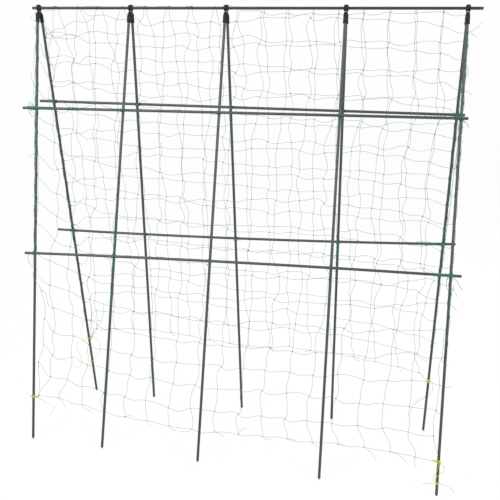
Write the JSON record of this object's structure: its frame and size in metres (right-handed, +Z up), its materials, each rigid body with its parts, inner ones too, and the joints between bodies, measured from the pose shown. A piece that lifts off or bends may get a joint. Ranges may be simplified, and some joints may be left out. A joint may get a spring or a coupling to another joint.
{
  "type": "net trellis",
  "caption": "Folding A-frame garden net trellis of dark green coated tube stakes and crossbars in black rubber ridge connectors, draped with green square-mesh plant net.",
  "frame": {"origin": "bottom centre of the part's bounding box, on the surface the feet stand on", "axes": "+X along the ridge bar to the right as seen in the picture, +Y from the front frame to the rear frame, +Z up"},
  "size_m": [1.83, 0.5502, 1.8225],
  "materials": {
    "tube_coating": "satin dark green plastic coat on steel tube",
    "rubber": "matt black moulded rubber",
    "net_thread": "fine twisted green plastic thread",
    "green_cord": "bright green plastic cord",
    "yarn": "yellow-green soft yarn"
  },
  "bodies": {
    "ridge": {"ridge_bar": "tube_coating", "connector_1": "rubber", "connector_2": "rubber", "connector_3": "rubber", "connector_4": "rubber", "connector_5": "rubber"},
    "front_frame": {"stake_front_1": "tube_coating", "sleeve_front_1": "rubber", "stake_front_2": "tube_coating", "sleeve_front_2": "rubber", "stake_front_3": "tube_coating", "sleeve_front_3": "rubber", "stake_front_4": "tube_coating", "sleeve_front_4": "rubber", "stake_front_5": "tube_coating", "sleeve_front_5": "rubber", "crossbar_front_upper": "tube_coating", "tie_front_upper_1": "green_cord", "tie_front_upper_2": "green_cord", "tie_front_upper_3": "green_cord", "tie_front_upper_4": "green_cord", "tie_front_upper_5": "green_cord", "crossbar_front_lower": "tube_coating", "tie_front_lower_1": "green_cord", "tie_front_lower_2": "green_cord", "tie_front_lower_3": "green_cord", "tie_front_lower_4": "green_cord", "tie_front_lower_5": "green_cord", "net_front": "net_thread", "net_tie_front_left": "yarn", "net_tie_front_right": "yarn"},
    "rear_frame": {"stake_rear_1": "tube_coating", "sleeve_rear_1": "rubber", "stake_rear_2": "tube_coating", "sleeve_rear_2": "rubber", "stake_rear_3": "tube_coating", "sleeve_rear_3": "rubber", "stake_rear_4": "tube_coating", "sleeve_rear_4": "rubber", "stake_rear_5": "tube_coating", "sleeve_rear_5": "rubber", "crossbar_rear_upper": "tube_coating", "tie_rear_upper_1": "green_cord", "tie_rear_upper_2": "green_cord", "tie_rear_upper_3": "green_cord", "tie_rear_upper_4": "green_cord", "tie_rear_upper_5": "green_cord", "crossbar_rear_lower": "tube_coating", "tie_rear_lower_1": "green_cord", "tie_rear_lower_2": "green_cord", "tie_rear_lower_3": "green_cord", "tie_rear_lower_4": "green_cord", "tie_rear_lower_5": "green_cord", "net_rear": "net_thread", "net_tie_rear_left": "yarn", "net_tie_rear_right": "yarn"}
  },
  "joints": [
    {"name": "front_fold", "type": "hinge", "parent": "ridge", "child": "front_frame", "pos_m": [0, 0, 1.80953], "axis": [-1, 0, 0], "range_deg": [-8.2, 12]},
    {"name": "rear_fold", "type": "hinge", "parent": "ridge", "child": "rear_frame", "pos_m": [0, 0, 1.80953], "axis": [1, 0, 0], "range_deg": [-8.2, 12]}
  ],
  "couplings": [
    {"joint": "rear_fold", "follows": "front_fold", "ratio": 1}
  ]
}
